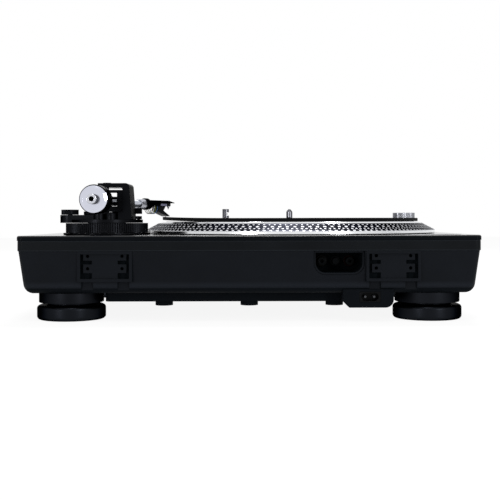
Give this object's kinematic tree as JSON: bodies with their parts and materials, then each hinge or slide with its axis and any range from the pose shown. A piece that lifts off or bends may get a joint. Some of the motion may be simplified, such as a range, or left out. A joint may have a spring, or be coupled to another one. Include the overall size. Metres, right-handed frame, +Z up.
{
  "type": "dj turntable",
  "caption": "Direct-drive turntable with a strobe-dotted platter, slipmat, S-shaped tonearm, counterweight, pitch fader, speed buttons and screw feet.",
  "frame": {"origin": "on the table under the middle of the plinth, at the feet's undersides", "axes": "+Z up, +X to the tonearm's side along the plinth's width, +Y to the rear"},
  "size_m": [0.45, 0.352, 0.1394],
  "materials": {
    "case_plastic": "fine moulded texture",
    "deck_lacquer": "satin black lacquer",
    "trim_plastic": "smooth moulded black",
    "foot_rubber": "moulded rubber",
    "screw_steel": "zinc plated",
    "socket_plastic": "smooth black",
    "jack_metal": "nickel plated",
    "core_iron": "laminated",
    "board_green": "solder mask",
    "bearing_brass": "turned",
    "magnet_ferrite": "ground ferrite",
    "platter_metal": "turned and polished",
    "mat_felt": "felt",
    "chrome": "polished",
    "arm_metal": "polished",
    "arm_black": "satin black",
    "weight_metal": "satin",
    "shell_black": "black anodised",
    "cartridge_plastic": "smooth",
    "wire_colours": "four colours",
    "button_metal": "brushed",
    "knob_metal": "turned"
  },
  "bodies": {
    "plinth": {"lower_tub": "case_plastic", "upper_chassis": "case_plastic", "top_deck": "deck_lacquer", "bottom_plate": "trim_plastic", "bottom_screws": "screw_steel", "foot_collars": "case_plastic", "hinge_socket_left": "case_plastic", "hinge_socket_right": "case_plastic", "jack_box": "case_plastic", "output_jacks": "jack_metal", "inlet_housing": "case_plastic", "mains_socket": "socket_plastic", "transformer": "core_iron", "circuit_board": "board_green", "stator": "board_green", "spindle_bearing": "bearing_brass", "arm_mount": "arm_black", "fader_panel": "trim_plastic", "fader_track": "screw_steel", "strobe_tower": "trim_plastic"},
    "platter": {"platter": "platter_metal", "rotor_magnet": "magnet_ferrite", "spindle": "chrome"},
    "slipmat": {"slipmat": "mat_felt"},
    "height_ring": {"height_ring": "arm_black"},
    "arm_base": {"arm_base": "arm_black", "bearing_bracket": "arm_black", "pivot_screw": "arm_black", "arm_rest": "arm_black"},
    "height_lock": {"height_lock": "arm_black"},
    "antiskate_dial": {"antiskate_dial": "arm_black"},
    "cue_lever": {"cue_lever": "arm_metal"},
    "lift_bar": {"lift_bar": "arm_black"},
    "arm_clip": {"arm_clip": "trim_plastic"},
    "gimbal": {"gimbal_ring": "arm_black", "gimbal_pins": "chrome"},
    "arm": {"arm_block": "arm_metal", "arm_tube": "arm_metal", "arm_stub": "arm_metal"},
    "weight_bush": {"weight_bush": "trim_plastic"},
    "counterweight": {"counterweight": "weight_metal"},
    "force_dial": {"force_dial": "arm_black"},
    "locking_collar": {"locking_collar": "chrome"},
    "headshell": {"headshell": "shell_black", "cartridge": "cartridge_plastic", "stylus": "chrome", "cartridge_screws": "screw_steel", "lead_wires": "wire_colours"},
    "start_button": {"start_button": "button_metal"},
    "button_33": {"button_33": "trim_plastic"},
    "button_45": {"button_45": "trim_plastic"},
    "quartz_button": {"quartz_button": "trim_plastic"},
    "fader_knob": {"fader_knob": "trim_plastic"},
    "power_knob": {"power_knob": "knob_metal"},
    "target_light": {"target_light": "chrome"},
    "adaptor_45": {"adaptor_45": "knob_metal"},
    "foot_front_left": {"foot_front_left": "foot_rubber"},
    "foot_front_right": {"foot_front_right": "foot_rubber"},
    "foot_rear_left": {"foot_rear_left": "foot_rubber"},
    "foot_rear_right": {"foot_rear_right": "foot_rubber"}
  },
  "joints": [
    {"name": "platter_spin", "type": "hinge", "parent": "plinth", "child": "platter", "pos_m": [-0.047, 0, 0.09], "axis": [0, 0, -1], "continuous": true},
    {"name": "slipmat_slip", "type": "hinge", "parent": "platter", "child": "slipmat", "pos_m": [-0.047, 0, 0.0998], "axis": [0, 0, -1], "continuous": true},
    {"name": "ring_turn", "type": "hinge", "parent": "plinth", "child": "height_ring", "pos_m": [0.15206, 0.08124, 0.091], "axis": [0, 0, 1], "range_deg": [0, 300]},
    {"name": "arm_height", "type": "slide", "parent": "plinth", "child": "arm_base", "axis": [0, 0, 1], "range_m": [0, 0.0061], "stiffness_N_per_m": 40, "springref_m": 0.045},
    {"name": "arm_swing", "type": "hinge", "parent": "arm_base", "child": "gimbal", "pos_m": [0.15206, 0.08124, 0.12], "axis": [0, 0, -1], "range_deg": [0, 46]},
    {"name": "arm_lift", "type": "hinge", "parent": "gimbal", "child": "arm", "pos_m": [0.15206, 0.08124, 0.12], "axis": [-1, 0, 0], "range_deg": [0, 10]},
    {"name": "weight_travel", "type": "slide", "parent": "arm", "child": "weight_bush", "axis": [0, 1, 0], "range_m": [-0.0101, 0.0076]},
    {"name": "weight_turn", "type": "hinge", "parent": "weight_bush", "child": "counterweight", "pos_m": [0.15206, 0.15124, 0.12], "axis": [0, 1, 0], "range_deg": [-1440, 1080]},
    {"name": "dial_turn", "type": "hinge", "parent": "counterweight", "child": "force_dial", "pos_m": [0.15206, 0.13524, 0.12], "axis": [0, 1, 0], "continuous": true},
    {"name": "collar_turn", "type": "hinge", "parent": "arm", "child": "locking_collar", "pos_m": [0.13849, -0.0894, 0.12], "axis": [-0.4384, -0.8988, 0], "range_deg": [0, 40]},
    {"name": "headshell_pull", "type": "slide", "parent": "arm", "child": "headshell", "axis": [-0.4384, -0.8988, 0], "range_m": [0, 0.02]},
    {"name": "cue_swing", "type": "hinge", "parent": "arm_base", "child": "cue_lever", "pos_m": [0.17606, 0.05724, 0.106], "axis": [-1, 0, 0], "range_deg": [0, 50]},
    {"name": "lift_rise", "type": "slide", "parent": "arm_base", "child": "lift_bar", "axis": [0, 0, 1], "range_m": [0, 0.0061]},
    {"name": "antiskate_turn", "type": "hinge", "parent": "arm_base", "child": "antiskate_dial", "pos_m": [0.19106, 0.08524, 0.107], "axis": [0, 0, 1], "range_deg": [0, 270]},
    {"name": "clip_swing", "type": "hinge", "parent": "arm_base", "child": "arm_clip", "pos_m": [0.15911, 0.02724, 0.126], "axis": [0, 0, 1], "range_deg": [0, 90]},
    {"name": "lock_swing", "type": "hinge", "parent": "arm_base", "child": "height_lock", "pos_m": [0.11806, 0.08324, 0.101], "axis": [0, 0, 1], "range_deg": [0, 60]},
    {"name": "start_press", "type": "slide", "parent": "plinth", "child": "start_button", "axis": [0, 0, -1], "range_m": [0, 0.0015], "stiffness_N_per_m": 600},
    {"name": "press_33", "type": "slide", "parent": "plinth", "child": "button_33", "axis": [0, 0, -1], "range_m": [0, 0.0015], "stiffness_N_per_m": 600},
    {"name": "press_45", "type": "slide", "parent": "plinth", "child": "button_45", "axis": [0, 0, -1], "range_m": [0, 0.0015], "stiffness_N_per_m": 600},
    {"name": "quartz_press", "type": "slide", "parent": "plinth", "child": "quartz_button", "axis": [0, 0, -1], "range_m": [0, 0.0015], "stiffness_N_per_m": 600},
    {"name": "fader_slide", "type": "slide", "parent": "plinth", "child": "fader_knob", "axis": [0, 1, 0], "range_m": [-0.05, 0.05]},
    {"name": "power_turn", "type": "hinge", "parent": "plinth", "child": "power_knob", "pos_m": [-0.203, -0.126, 0.104], "axis": [0, 0, 1], "range_deg": [0, 45]},
    {"name": "target_press", "type": "slide", "parent": "plinth", "child": "target_light", "axis": [0, 0, -1], "range_m": [0, 0.0265], "stiffness_N_per_m": 20, "springref_m": -0.02},
    {"name": "adaptor_lift", "type": "slide", "parent": "plinth", "child": "adaptor_45", "axis": [0, 0, 1], "range_m": [0, 0.03]},
    {"name": "foot_front_left_screw", "type": "slide", "parent": "plinth", "child": "foot_front_left", "axis": [0, 0, -1], "range_m": [-0.002, 0.008]},
    {"name": "foot_front_right_screw", "type": "slide", "parent": "plinth", "child": "foot_front_right", "axis": [0, 0, -1], "range_m": [-0.002, 0.008]},
    {"name": "foot_rear_left_screw", "type": "slide", "parent": "plinth", "child": "foot_rear_left", "axis": [0, 0, -1], "range_m": [-0.002, 0.008]},
    {"name": "foot_rear_right_screw", "type": "slide", "parent": "plinth", "child": "foot_rear_right", "axis": [0, 0, -1], "range_m": [-0.002, 0.008]}
  ],
  "couplings": [
    {"joint": "arm_height", "follows": "ring_turn", "m_per_rad": 0.0011459},
    {"joint": "weight_travel", "follows": "weight_turn", "m_per_rad": 0.00039789},
    {"joint": "lift_rise", "follows": "cue_swing", "m_per_rad": 0.0068755}
  ]
}
